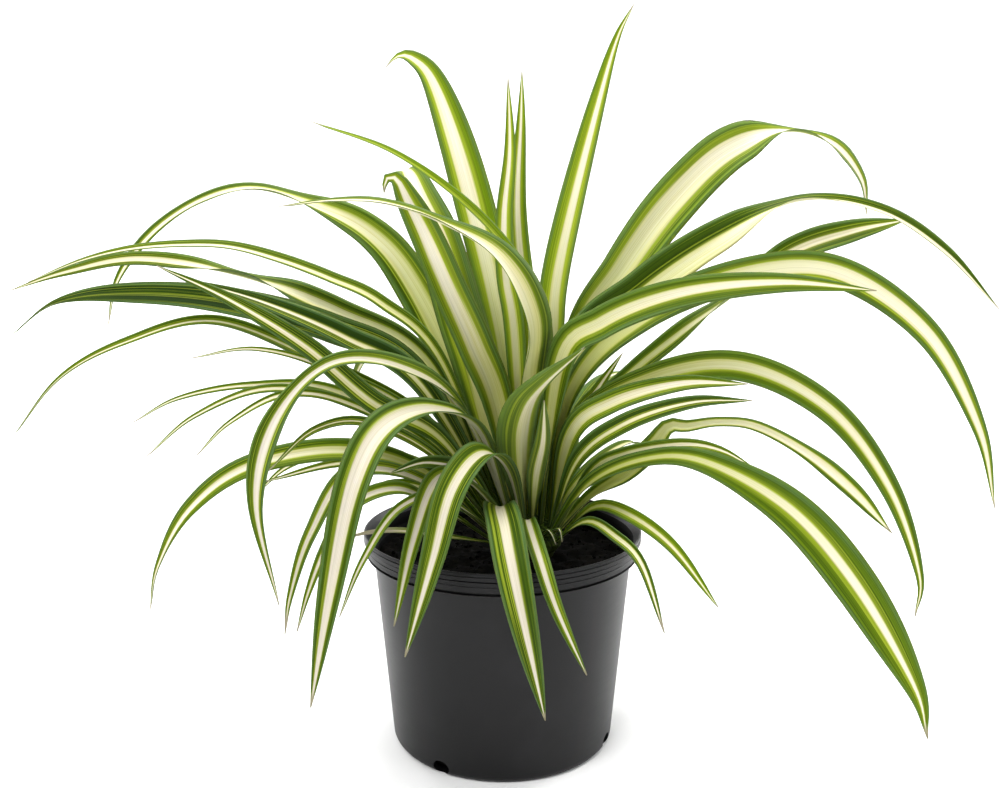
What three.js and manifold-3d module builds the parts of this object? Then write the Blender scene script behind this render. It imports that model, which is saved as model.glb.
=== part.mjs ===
// A variegated spider plant in a black nursery pot.
// Millimetres: X to the right, Y to the back, Z up; the origin is the middle of the pot's base.
import * as THREE from 'three';
import { mergeVertices } from 'three/addons/utils/BufferGeometryUtils.js';
import Module from 'manifold-3d';

const wasm = await Module();
wasm.setup();

const potHeight = 121;
const potBaseRadius = 62.7;
const potWallLean = 0.0893;
const potWall = 1.2;
const potFloor = 1.6;
const potCorner = 4;
const lipRadius = 78;
const lipHeight = 4.3;
const bandRadius = 76.4;
const bandHeight = 11.8;
const grooveDepth = 1.1;
const grooveHeight = 0.6;
const wallEdge = 0.6;
const drainRadius = 5;
const drainDepth = 16;
const drainSquash = 0.8;
const drainAngles = [238.5, 337, 57, 160];
const roundSides = 48;
const holeSides = 16;

const fitGap = 0.3;
const soilLevel = 105;
const soilRise = 0.8;
const soilLump = 0.9;
const soilRings = [0.93, 0.8, 0.65, 0.5, 0.36, 0.26];
const crownX = 14;
const crownY = 2;
const crownZ = 114;
const crownRadius = 28;
const crownDome = 19;
const crownNeckRadius = 18;
const crownNeckDepth = 24;
const crownSides = 24;
const crownStep = 12.5;
const rootDepth = 2;

const bladeThickness = 0.8;
const sectionStep = 19;
const baseWidth = 0.36;
const tipWidth = 1.4;
const widestAt = 0.45;
const taperPower = 2.1;
const fewestSections = 8;
const baseFold = 52;
const midFold = 26;
const tipFold = 14;

const potColor = 0x2e2e30;
const soilColor = 0x1f1712;
const crownColor = 0x8d9a5a;
const leafColor = 0x6f9a35;

// Each leaf: where its base stands on the crown (azimuth, elevation in degrees; 0 is +X, 90 is +Y),
// its greatest width (or its widths at even steps up to the tip), the turns of its blade about
// the midrib from base to tip in degrees,
// and the points that its midrib passes on the way to the tip.
const leaves = [
  { name: 'leaf_inner_1', root: [36, 66], width: 17.5, roll: [20, 60, 60, 50],
    path: [[27, 14, 222], [29, 16, 256], [38, 20, 300], [52, 24, 355], [62, 25, 389], [71, 24, 407]] },
  { name: 'leaf_inner_2', root: [98, 76], width: 14,
    path: [[17.5, 24, 224], [11.5, 30, 261], [8.5, 36, 300], [10.5, 40, 348], [11, 42, 375]] },
  { name: 'leaf_inner_3', root: [140, 80], width: 13, roll: [-15, -20],
    path: [[7, 16, 225], [2, 20, 261], [1, 22, 294], [4, 24, 330], [3, 26, 369]] },
  { name: 'leaf_inner_4', root: [140, 60], width: 25.5, roll: [-20, -50, -50, -60], peak: 0.6,
    path: [[3, 22, 204], [-4, 32, 249], [-14, 44, 292], [-28, 56, 341], [-41, 64, 374], [-53, 68, 386],
      [-62, 70, 387], [-70, 68, 379]] },
  { name: 'leaf_inner_5', root: [192, 68], widths: [8, 13, 18, 22, 23, 22, 20, 15],
    roll: [-40, -75, -78, -78, -70],
    path: [[-3, 2, 189], [-16, -5, 225], [-29, -10, 255], [-41, -13, 284], [-49, -15, 301],
      [-55, -15, 313], [-60.5, -14, 313], [-62, -12, 306]] },
  { name: 'leaf_inner_6', root: [285, 60], width: 11.5,
    path: [[18, -20, 154], [21, -34, 178], [21, -46, 202]] },
  { name: 'leaf_inner_7', root: [262, 66], widths: [8, 14, 22, 26, 22, 12],
    path: [[9, -22, 167], [11, -38, 194], [20, -50, 211], [40, -60, 231]] },
  { name: 'leaf_upper_1', root: [172, 60], widths: [9, 17, 25, 29, 30, 29, 26, 18],
    roll: [-15, -42, -42, -38, -12],
    path: [[-12, 12, 200], [-24, 20, 239], [-36, 28, 279], [-48, 37, 305], [-54, 48, 318],
      [-58, 60, 320], [-62, 70, 310]] },
  { name: 'leaf_upper_2', root: [300, 76], widths: [6.5, 11.5, 24, 31, 24, 11, 7.5],
    roll: [-50, -75, -60, -25, -15],
    path: [[13, -12, 201], [14, -30, 240], [-2, -43, 273], [-30, -54, 291], [-56, -62, 300],
      [-80, -70, 301], [-105, -76, 298]] },
  { name: 'leaf_upper_3', root: [0, 80], width: 11, roll: [-50, -60, -50, -45], peak: 0.3,
    path: [[23, -3, 230], [9, -12, 267], [-17, -22, 298], [-54, -32, 325], [-95, -38, 340]] },
  { name: 'leaf_upper_4', root: [150, 46], widths: [9, 17, 25, 26, 21, 13, 9, 8],
    roll: [-30, -75, -78, -75, -62, -12, -50, -68, -65],
    path: [[-27, 26, 206], [-55, 40, 260], [-80, 48, 286], [-110, 50, 300], [-145, 52, 310],
      [-177, 52, 303], [-206, 50, 284], [-227, 48, 257], [-234, 46, 229]] },
  { name: 'leaf_upper_5', root: [52, 52], widths: [9, 11, 14, 20, 27, 31, 31, 28, 13, 13],
    roll: [30, 60, 72, 75, 75, 75, 74, 66, 10, 65, 75],
    path: [[41, 24, 221], [69, 36, 264], [97, 50, 300], [130, 62, 330], [166, 70, 344], [197, 73, 338],
      [217, 74, 317], [222, 74, 295]] },
  { name: 'leaf_upper_6', root: [24, 46], widths: [7, 11, 15, 21, 24, 21.5, 15, 9.5, 9, 6.5],
    roll: [30, 70, 75, 75, 70, 8, 50, 65, 70],
    path: [[39, 8, 219], [77, 14, 254], [122, 24, 283], [169, 32, 303], [217, 40, 298], [258, 44, 275],
      [293, 44, 240]] },
  { name: 'leaf_left_1', root: [184, 50], width: 10, roll: [-20, -50, -35, -40],
    path: [[-34, -2, 216], [-66, -6, 248], [-92, -9, 261], [-118, -11, 271], [-144, -13, 278],
      [-169, -15, 279], [-195, -16, 277], [-221, -17, 271], [-249, -18, 260]] },
  { name: 'leaf_left_2', root: [172, 42], widths: [5, 6.5, 9, 12.5, 15.5, 16, 12.5, 9.5, 5.8],
    roll: [-20, -50, -60, -60, -60, 5, -60, -70, -70],
    path: [[-40, 5, 212], [-90, 6, 242], [-144, 5, 262], [-197, 4, 271], [-238, 3, 264], [-269, 2, 254]] },
  { name: 'leaf_left_3', root: [194, 38], width: 18, roll: [-20, -60, -78, -75, -5],
    path: [[-45, -6, 207], [-92, -12, 235], [-147, -16, 250], [-196, -18, 254], [-235, -20, 249],
      [-262, -20, 230]] },
  { name: 'leaf_left_4', root: [204, 48], width: 16, roll: [-20, -60, -60, -50],
    path: [[-44, -13, 204], [-82, -24, 231], [-121, -33, 250], [-159, -41, 263]] },
  { name: 'leaf_left_5', root: [218, 34], width: 14, roll: [-30, -70, -70, -60],
    path: [[-33, -21, 176], [-67, -38, 199], [-98, -52, 230], [-131, -64, 254], [-162, -74, 271]] },
  { name: 'leaf_left_6', root: [176, 28], width: 8, roll: [-20, -60, -50, -40],
    path: [[-41, 4, 181], [-100, -4, 216], [-154, -10, 238.5], [-202, -12, 227.5], [-239, -12, 208],
      [-269, -10, 174]] },
  { name: 'leaf_left_7', root: [190, 24], width: 5.5, roll: [-20, -60, -60, -50],
    path: [[-45, -4, 183], [-93, -14, 213], [-130, -22, 225], [-163, -28, 221]] },
  { name: 'leaf_left_8', root: [158, 16], widths: [5, 11, 13, 9, 6.5, 5, 3.5], roll: [-20, -60, -60],
    path: [[-41, 10, 166], [-94, 6, 198], [-139, 0, 202], [-177, -6, 196], [-202, -10, 183]] },
  { name: 'leaf_left_9', root: [186, 12], width: 6.5, roll: [-20, -60, -60],
    path: [[-38, -2, 164], [-85, -14, 195], [-125, -24, 204], [-161, -32, 191], [-185, -38, 171]] },
  { name: 'leaf_left_10', root: [202, 14], width: 6.5, roll: [-20, -60, -60],
    path: [[-34, -8, 164], [-80, -26, 196], [-111, -40, 204], [-137, -52, 192], [-153, -58, 176]] },
  { name: 'leaf_left_11', root: [212, 18], width: 7, roll: [-30, -70, -60],
    path: [[-33, -28, 166], [-66, -56, 192], [-91, -70, 192], [-112, -80, 174]] },
  { name: 'leaf_left_12', root: [200, 0], width: 14, roll: [-30, -65, -60, -15],
    path: [[-40, -8, 153], [-82, -34, 173], [-128, -52, 169], [-156, -62, 150], [-172, -68, 122],
      [-177, -70, 98]] },
  { name: 'leaf_left_13', root: [186, -4], width: 7, roll: [-20, -60, -60],
    path: [[-41, 2, 147], [-82, -20, 163], [-126, -38, 157]] },
  { name: 'leaf_left_14', root: [172, 4], width: 7.5, roll: [-20, -60, -60],
    path: [[-41, 12, 151], [-89, 4, 165], [-118, -6, 158], [-136, -12, 143]] },
  { name: 'leaf_left_15', root: [164, -8], width: 8, roll: [-20, -60, -60],
    path: [[-36, 12, 136], [-63, 2, 145], [-85, -8, 136]] },
  { name: 'leaf_front_1', root: [226, 0], width: 10, roll: [-20, -50, -50, -40],
    path: [[-44, -24, 154], [-75, -66, 169], [-91, -90, 146], [-99, -102, 120], [-101, -108, 103]] },
  { name: 'leaf_front_2', root: [216, 58], widths: [8, 11, 15, 17, 11, 7.5, 12, 5.5],
    roll: [0, -40, -50, -50],
    path: [[-22, -18, 191], [-52, -46, 219], [-82, -74, 225], [-104, -96, 203], [-111, -112, 168],
      [-100, -122, 123]] },
  { name: 'leaf_front_3', root: [228, 46], width: 19, roll: [0, -20, -30, -35], peak: 0.5,
    path: [[-12, -26, 180], [-32, -58, 199], [-54, -90, 198], [-67, -110, 176], [-77, -124, 128],
      [-85, -134, 80]] },
  { name: 'leaf_front_4', root: [262, 40], width: 18, roll: [0, -15, -25, -25],
    path: [[3, -28, 160], [-10, -58, 177], [-24, -84, 166], [-33, -96, 135], [-46, -104, 90]] },
  { name: 'leaf_front_5', root: [248, 32], width: 12, roll: [0, -20, -30, -30],
    path: [[-17, -36, 156], [-33, -64, 165], [-43, -86, 141], [-52, -94, 101]] },
  { name: 'leaf_front_6', root: [266, 12], width: 20, roll: [0, 5], peak: 0.42,
    path: [[-1, -46, 146], [1, -80, 144], [7, -98, 118], [20, -106, 59]] },
  { name: 'leaf_front_7', root: [290, 8], width: 10, roll: [0, 10],
    path: [[13, -46, 139], [18, -82, 130], [26, -92, 108], [40, -98, 78]] },
  { name: 'leaf_front_8', root: [236, 18], width: 11, roll: [-20, -60, -60],
    path: [[-17, -22, 155], [-38, -40, 168], [-57, -54, 166]] },
  { name: 'leaf_front_9', root: [246, -8], width: 6, roll: [-20, -50, -45],
    path: [[-30, -32, 146], [-52, -58, 149], [-68, -80, 129], [-79, -88, 103]] },
  { name: 'leaf_front_10', root: [214, -22], width: 9, roll: [-20, -50, -50, -40],
    path: [[-34, -24, 139], [-54, -51, 157], [-74, -74, 155], [-84, -90, 139], [-91, -99, 121],
      [-96, -105, 103]] },
  { name: 'leaf_right_1', root: [24, 34], width: 18, roll: [20, 60, 60, -10, 60, 60], peak: 0.8,
    path: [[39, 18, 172], [73, 26, 204], [105, 34, 228], [135, 42, 248], [170, 50, 273],
      [207, 58, 285], [242, 64, 292]] },
  { name: 'leaf_right_2', root: [326, 56], width: 19.5, roll: [30, 75, 80, 70],
    path: [[31, -20, 216], [52, -27, 239], [90, -36, 255], [138, -46, 261], [183, -54, 258]] },
  { name: 'leaf_right_3', root: [4, 44], width: 20.5, roll: [30, 75, 85, 100, 105],
    path: [[38, 0, 198], [76, 3, 239], [130, 6, 262], [183, 8, 264], [235, 8, 231], [268, 6, 177],
      [279, 2, 131]] },
  { name: 'leaf_right_4', root: [346, 30], width: 18, roll: [30, 75, 85, 90, 100],
    path: [[40, -7, 181], [80, -7, 207], [129, -9, 214], [177, -13, 191], [211, -17, 148],
      [229, -21, 100], [227, -24, 77]] },
  { name: 'leaf_right_5', root: [338, 38], width: 14.5, roll: [30, 75, 75, 70],
    path: [[37, -13, 176], [58, -20, 196], [93, -30, 208], [126, -38, 209]] },
  { name: 'leaf_right_6', root: [326, 30], width: 12, roll: [30, 70, 75, 70],
    path: [[40, -21, 164], [64, -32, 187], [96, -42, 200], [125, -52, 203]] },
  { name: 'leaf_right_7', root: [342, 18], width: 9, roll: [30, 65, 65, 60],
    path: [[48, -13, 155], [66, -18, 167], [95, -24, 174], [115, -28, 172], [133, -32, 163]] },
  { name: 'leaf_right_8', root: [318, 16], widths: [7, 9.5, 10.5, 10, 14, 20.5, 24, 24, 20, 11.5],
    roll: [30, 75, 75, 75],
    path: [[46, -28, 153], [74, -40, 170], [102, -54, 172], [141, -68, 152], [172, -80, 117],
      [200, -90, 69], [207, -94, 43]] },
  { name: 'leaf_right_9', root: [6, 10], widths: [5.6, 10, 13.5, 15, 9, 6.5, 7.5, 9, 12, 10],
    roll: [20, 30, 50, 60, 60, 65, 65, 65, 60, 60],
    path: [[50, 8, 135], [72, 8, 150], [86, 8, 166], [94, 8, 177], [104, 8, 177], [121, 6, 180],
      [142, 4, 178], [169, 0, 164], [194, -5, 144], [217, -10, 120]] },
  { name: 'leaf_right_10', root: [346, 0], width: 9, roll: [30, 60, 60, 55],
    path: [[50, -10, 135], [67, -20, 135], [90, -34, 121], [113, -48, 92]] },
  { name: 'leaf_right_11', root: [320, -2], width: 7, roll: [30, 60, 50, 40],
    path: [[45, -26, 132], [59, -42, 129], [71, -58, 119], [81, -72, 88]] },
  { name: 'leaf_right_12', root: [12, 20], width: 10, roll: [20, 50, 50],
    path: [[41, 10, 177], [54, 13, 198], [68, 16, 218]] },
  { name: 'leaf_back_1', root: [78, 48], width: 20,
    path: [[24, 30, 172], [32, 62, 200], [42, 105, 198], [50, 145, 165], [54, 170, 115]] },
  { name: 'leaf_back_2', root: [102, 56], width: 22,
    path: [[10, 30, 180], [0, 62, 208], [-12, 108, 200], [-22, 150, 158], [-26, 172, 105]] },
  { name: 'leaf_back_3', root: [128, 44], width: 18,
    path: [[-8, 28, 172], [-34, 56, 204], [-64, 90, 212], [-92, 118, 200], [-106, 136, 172]] },
  { name: 'leaf_back_4', root: [50, 40], width: 18,
    path: [[35, 26, 158], [51, 52, 182], [67, 84, 193], [88, 112, 194]] },
  { name: 'leaf_back_5', root: [88, 20], width: 14,
    path: [[14, 36, 140], [14, 66, 152], [12, 100, 140], [10, 124, 108]] },
  { name: 'leaf_back_6', root: [34, 14], width: 12,
    path: [[40, 16, 138], [62, 34, 154], [80, 52, 158], [92, 66, 146]] },
  { name: 'leaf_left_16', root: [208, -8], width: 5, roll: [-20, -40],
    path: [[-30, -16, 120], [-56, -24, 126], [-74, -28, 126], [-86, -30, 123]] },
];

function material(color, roughness) {
  return new THREE.MeshStandardMaterial({ color, roughness, metalness: 0 });
}

function wallRadius(z) {
  return potBaseRadius + potWallLean * z;
}

function latheSolid(profile) {
  const points = profile.map(([r, z]) => new THREE.Vector2(r, z));
  const geometry = new THREE.LatheGeometry(points, roundSides);
  geometry.rotateX(Math.PI / 2);
  geometry.deleteAttribute('normal');
  geometry.deleteAttribute('uv');
  return mergeVertices(geometry, 1e-4);
}

function toSolid(geometry) {
  const bare = geometry.clone();
  bare.deleteAttribute('normal');
  bare.deleteAttribute('uv');
  const merged = mergeVertices(bare, 1e-4);
  const vertProperties = new Float32Array(merged.attributes.position.array);
  const triVerts = new Uint32Array(merged.index.array);
  return new wasm.Manifold(new wasm.Mesh({ numProp: 3, vertProperties, triVerts }));
}

function toGeometry(solid) {
  const mesh = solid.getMesh();
  const geometry = new THREE.BufferGeometry();
  geometry.setAttribute('position', new THREE.BufferAttribute(new Float32Array(mesh.vertProperties), 3));
  geometry.setIndex(new THREE.BufferAttribute(new Uint32Array(mesh.triVerts), 1));
  return geometry;
}

// The pot is turned from one profile, up the outside and down the inside.
function potProfile() {
  const bandBottom = potHeight - bandHeight;
  const lipBottom = potHeight - lipHeight;
  return [
    [0, 0],
    [potBaseRadius - potCorner, 0],
    [potBaseRadius - potCorner / 4, potCorner / 4],
    [wallRadius(potCorner), potCorner],
    [wallRadius(bandBottom), bandBottom],
    [bandRadius - wallEdge, bandBottom],
    [bandRadius, bandBottom + wallEdge],
    [bandRadius, lipBottom - grooveHeight],
    [bandRadius - grooveDepth, lipBottom - grooveHeight],
    [bandRadius - grooveDepth, lipBottom],
    [lipRadius - wallEdge, lipBottom],
    [lipRadius, lipBottom + wallEdge],
    [lipRadius, potHeight - wallEdge],
    [lipRadius - wallEdge, potHeight],
    [lipRadius - potWall, potHeight],
    [bandRadius - grooveDepth - potWall, lipBottom],
    [bandRadius - grooveDepth - potWall, bandBottom + potWall],
    [wallRadius(bandBottom) - potWall, bandBottom],
    [wallRadius(potCorner) - potWall, potCorner + potFloor],
    [potBaseRadius - potCorner - wallEdge, potFloor],
    [0, potFloor],
  ];
}

function drainHole(angle) {
  const hole = new THREE.CylinderGeometry(drainRadius, drainRadius, drainDepth, holeSides);
  hole.rotateZ(Math.PI / 2);
  hole.scale(1, 1, drainSquash);
  hole.translate(potBaseRadius, 0, drainRadius * drainSquash);
  hole.rotateZ(THREE.MathUtils.degToRad(angle));
  return toSolid(hole);
}

function potGeometry() {
  let solid = toSolid(latheSolid(potProfile()));
  for (const angle of drainAngles) {
    solid = solid.subtract(drainHole(angle));
  }
  return toGeometry(solid);
}

// The soil fills the pot, lumpy on top, with a plain hole that the crown's neck stands in.
function soilGeometry() {
  const inside = (z) => wallRadius(z) - potWall - fitGap;
  const brim = inside(soilLevel);
  const foot = potFloor + fitGap;
  const cornerTop = potCorner + potFloor + fitGap;
  const profile = [[0, foot], [potBaseRadius - potCorner - potWall, foot]];
  profile.push([inside(cornerTop) - wallEdge, cornerTop], [brim, soilLevel]);
  for (const ring of soilRings) {
    profile.push([ring * brim, soilLevel + soilRise * (1 - ring)]);
  }
  profile.push([0, soilLevel + soilRise]);
  const geometry = latheSolid(profile);
  const position = geometry.attributes.position;
  for (let i = 0; i < position.count; i++) {
    const [x, y, z] = [position.getX(i), position.getY(i), position.getZ(i)];
    if (z < soilLevel - 1 || Math.hypot(x, y) > brim - 1) continue;
    position.setZ(i, z + soilLump * Math.sin(0.31 * x + 1.3) * Math.sin(0.27 * y + 0.16 * x));
  }
  const holeRadius = crownNeckRadius + fitGap;
  const holeFloor = soilLevel - crownNeckDepth - fitGap;
  const hole = new THREE.CylinderGeometry(holeRadius, holeRadius, potHeight, crownSides);
  hole.rotateX(Math.PI / 2);
  hole.translate(crownX, crownY, holeFloor + potHeight / 2);
  return toGeometry(toSolid(geometry).subtract(toSolid(hole)));
}

// The crown is a dome of clasped leaf bases on a neck that stands in the soil.
function crownGeometry(gap) {
  const foot = soilLevel - crownNeckDepth - crownZ;
  const collar = soilLevel + soilRise + soilLump + fitGap - crownZ;
  const profile = [[0, foot], [crownNeckRadius + gap, foot], [crownNeckRadius + gap, collar]];
  for (let elevation = -10; elevation < 90; elevation += crownStep) {
    const a = THREE.MathUtils.degToRad(elevation);
    profile.push([(crownRadius + gap) * Math.cos(a), (crownDome + gap) * Math.sin(a)]);
  }
  profile.push([0, crownDome + gap]);
  const points = profile.map(([r, z]) => new THREE.Vector2(r, z));
  const geometry = new THREE.LatheGeometry(points, crownSides);
  geometry.rotateX(Math.PI / 2);
  return toGeometry(toSolid(geometry));
}

// What every leaf's base is cut back to, so that it sits on the crown all over.
const crownSeat = toSolid(crownGeometry(fitGap)).translate([crownX, crownY, crownZ]);

function smooth(x) {
  const c = THREE.MathUtils.clamp(x, 0, 1);
  return c * c * (3 - 2 * c);
}

// A value that passes through the listed ones at even steps of t from 0 to 1.
function along(values, t) {
  const place = t * (values.length - 1);
  const i = Math.min(Math.floor(place), values.length - 2);
  return values[i] + (values[i + 1] - values[i]) * smooth(place - i);
}

function crownPoint([azimuth, elevation], depth) {
  const a = THREE.MathUtils.degToRad(azimuth);
  const e = THREE.MathUtils.degToRad(elevation);
  const flat = (crownRadius - depth) * Math.cos(e);
  const z = crownZ + (crownDome - depth) * Math.sin(e);
  return new THREE.Vector3(crownX + flat * Math.cos(a), crownY + flat * Math.sin(a), z);
}

// A smooth curve through the values at even steps of t from 0 to 1.
function curved(values, t) {
  const place = t * (values.length - 1);
  const i = Math.min(Math.floor(place), values.length - 2);
  const share = place - i;
  const [first, second] = [values[i], values[i + 1]];
  const leaving = (second - (values[i - 1] ?? 2 * first - second)) / 2;
  const arriving = ((values[i + 2] ?? 2 * second - first) - first) / 2;
  const bend = 3 * (second - first) - 2 * leaving - arriving;
  const twist = 2 * (first - second) + leaving + arriving;
  return first + share * (leaving + share * (bend + share * twist));
}

function bladeWidth(leaf, t) {
  if (leaf.widths) return Math.max(curved([...leaf.widths, tipWidth], t), tipWidth);
  const peak = leaf.peak ?? widestAt;
  if (t < peak) return leaf.width * (baseWidth + (1 - baseWidth) * smooth(t / peak));
  const fall = (t - peak) / (1 - peak);
  return tipWidth + (leaf.width - tipWidth) * (1 - fall ** taperPower);
}

// A folded strap along the midrib: six points a section, thick all over, its two faces split alike.
function leafGeometry(leaf) {
  const start = crownPoint(leaf.root, rootDepth);
  const path = leaf.path.map(([x, y, z]) => new THREE.Vector3(x, y, z));
  const midrib = new THREE.CatmullRomCurve3([start, ...path], false, 'catmullrom', 0.5);
  const end = path[path.length - 1];
  const heading = new THREE.Vector3(end.x - start.x, end.y - start.y, 0).normalize();
  const level = new THREE.Vector3(-heading.y, heading.x, 0);
  const count = Math.max(fewestSections, Math.round(midrib.getLength() / sectionStep));
  const vertices = [];
  for (let i = 0; i <= count; i++) {
    const t = i / count;
    const centre = midrib.getPointAt(t);
    const tangent = midrib.getTangentAt(t);
    const side = level.clone().addScaledVector(tangent, -level.dot(tangent)).normalize();
    side.applyAxisAngle(tangent, THREE.MathUtils.degToRad(along(leaf.roll ?? [0, 0], t)));
    const up = tangent.clone().cross(side);
    const fold = THREE.MathUtils.degToRad(along([baseFold, midFold, midFold, tipFold], t));
    const half = bladeWidth(leaf, t) / 2;
    const reach = half * Math.cos(fold);
    const rise = half * Math.sin(fold);
    const backReach = reach + bladeThickness * Math.sin(fold);
    const backRise = rise - bladeThickness * Math.cos(fold);
    const face = [[-reach, rise], [0, 0], [reach, rise]];
    const back = [[backReach, backRise], [0, -bladeThickness / Math.cos(fold)], [-backReach, backRise]];
    for (const [s, n] of [...face, ...back]) {
      const point = centre.clone().addScaledVector(side, s).addScaledVector(up, n);
      vertices.push(point.x, point.y, point.z);
    }
  }
  const index = [];
  const quad = (a, b, c, d, turned) => {
    if (turned) index.push(a, d, b, b, d, c);
    else index.push(a, c, b, a, d, c);
  };
  for (let i = 0; i < count; i++) {
    const k = 6 * i;
    const n = k + 6;
    for (let j = 0; j < 6; j++) {
      const m = (j + 1) % 6;
      quad(k + j, k + m, n + m, n + j, j > 2);
    }
  }
  const last = 6 * count;
  quad(0, 5, 4, 1, false);
  quad(1, 4, 3, 2, false);
  quad(last, last + 1, last + 4, last + 5, false);
  quad(last + 1, last + 2, last + 3, last + 4, false);
  const geometry = new THREE.BufferGeometry();
  geometry.setAttribute('position', new THREE.BufferAttribute(new Float32Array(vertices), 3));
  geometry.setIndex(index);
  return toGeometry(toSolid(geometry).subtract(crownSeat));
}

function node(name, geometry, color, roughness) {
  const mesh = new THREE.Mesh(geometry, material(color, roughness));
  mesh.name = name;
  return mesh;
}

const plant = new THREE.Group();
plant.name = 'potted_spider_plant';
plant.add(node('pot', potGeometry(), potColor, 0.45));
plant.add(node('soil', soilGeometry(), soilColor, 0.95));

const crown = node('crown', crownGeometry(0), crownColor, 0.6);
crown.position.set(crownX, crownY, crownZ);
plant.add(crown);

for (const leaf of leaves) {
  plant.add(node(leaf.name, leafGeometry(leaf), leafColor, 0.4));
}

export default plant;
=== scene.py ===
import math
import bpy
from mathutils import Matrix, Vector, noise


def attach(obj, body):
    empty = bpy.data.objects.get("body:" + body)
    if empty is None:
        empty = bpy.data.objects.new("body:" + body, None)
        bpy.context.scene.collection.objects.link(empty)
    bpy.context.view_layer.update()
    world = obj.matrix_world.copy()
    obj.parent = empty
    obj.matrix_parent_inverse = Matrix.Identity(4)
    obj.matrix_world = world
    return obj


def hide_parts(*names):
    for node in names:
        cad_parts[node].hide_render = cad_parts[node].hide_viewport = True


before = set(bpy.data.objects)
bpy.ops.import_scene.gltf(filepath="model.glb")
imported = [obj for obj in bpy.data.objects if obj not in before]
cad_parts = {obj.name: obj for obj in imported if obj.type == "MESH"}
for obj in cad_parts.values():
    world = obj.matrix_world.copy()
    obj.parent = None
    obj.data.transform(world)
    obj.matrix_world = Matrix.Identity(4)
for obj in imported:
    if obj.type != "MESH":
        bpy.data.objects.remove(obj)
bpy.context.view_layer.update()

mm = 0.001


def addObject(name, data):
    item = bpy.data.objects.new(name, data)
    bpy.context.scene.collection.objects.link(item)
    return item


# Nodes: sockets that take Python's operators, and one method that makes any node.
def findSocket(sockets, place):
    if isinstance(place, int):
        return sockets[place]
    named = [socket for socket in sockets if place in (socket.name, socket.identifier)]
    return next((socket for socket in named if socket.enabled), named[0])


class Socket:
    def __init__(self, tree, output):
        self.tree = tree
        self.output = output

    def other(self, name):  # another output of the same node
        return Socket(self.tree, findSocket(self.output.node.outputs, name))

    def __add__(self, value):
        return self.tree.math("ADD", self, value)

    def __radd__(self, value):
        return self.tree.math("ADD", value, self)

    def __sub__(self, value):
        return self.tree.math("SUBTRACT", self, value)

    def __rsub__(self, value):
        return self.tree.math("SUBTRACT", value, self)

    def __mul__(self, value):
        return self.tree.math("MULTIPLY", self, value)

    def __rmul__(self, value):
        return self.tree.math("MULTIPLY", value, self)

    def __truediv__(self, value):
        return self.tree.math("DIVIDE", self, value)

    def __rtruediv__(self, value):
        return self.tree.math("DIVIDE", value, self)

    def __pow__(self, value):
        return self.tree.math("POWER", self, value)

    def __gt__(self, value):
        return self.tree.math("GREATER_THAN", self, value)

    def __abs__(self):
        return self.tree.math("ABSOLUTE", self)


class Tree:
    def __init__(self, nodeTree):
        self.nodes = nodeTree.nodes
        self.links = nodeTree.links

    def make(self, kind, settings=None, sockets=None, output=0):
        node = self.nodes.new(kind)
        for name, value in (settings or {}).items():
            setattr(node, name, value)
        for place, value in (sockets or {}).items():
            socket = findSocket(node.inputs, place)
            if isinstance(value, Socket):
                self.links.new(value.output, socket)
            else:
                socket.default_value = value
        return Socket(self, findSocket(node.outputs, output)) if node.outputs else node

    def math(self, operation, *values):
        return self.make("ShaderNodeMath", {"operation": operation}, dict(enumerate(values)))

    def vector(self, operation, *values):
        return self.make("ShaderNodeVectorMath", {"operation": operation}, dict(enumerate(values)))

    def scaled(self, vector, factor):
        return self.make("ShaderNodeVectorMath", {"operation": "SCALE"}, {0: vector, "Scale": factor})

    def xyz(self, x, y, z):
        return self.make("ShaderNodeCombineXYZ", None, {0: x, 1: y, 2: z})

    def parts(self, vector):
        split = self.make("ShaderNodeSeparateXYZ", None, {0: vector})
        return split, split.other("Y"), split.other("Z")

    def mix(self, factor, first, second):
        settings = {"data_type": "RGBA", "clamp_factor": True}
        return self.make("ShaderNodeMix", settings, {"Factor": factor, "A": first, "B": second}, "Result")

    def rise(self, value, low, high):  # 0 below low, 1 above high, smooth between
        settings = {"interpolation_type": "SMOOTHSTEP"}
        return self.make("ShaderNodeMapRange", settings, {0: value, 1: low, 2: high})

    def noise(self, vector, scale, detail=2.0):
        return self.make("ShaderNodeTexNoise", None, {"Vector": vector, "Scale": scale, "Detail": detail})

    def attribute(self, name, output="Fac"):
        return self.make("ShaderNodeAttribute", {"attribute_name": name}, None, output)


def display(red, green, blue):  # a colour as a screen shows it, 0 to 255
    def linear(value):
        share = value / 255
        return share / 12.92 if share < 0.04045 else ((share + 0.055) / 1.055) ** 2.4
    return (linear(red), linear(green), linear(blue), 1.0)


def newMaterial(name):
    material = bpy.data.materials.new(name)
    material.use_nodes = True
    material.node_tree.nodes.clear()
    return material, Tree(material.node_tree)


def finishMaterial(shade, varying, fixed):
    sockets = {**varying, **fixed}
    body = shade.make("ShaderNodeBsdfPrincipled", None, sockets)
    shade.make("ShaderNodeOutputMaterial", None, {"Surface": body})


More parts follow.
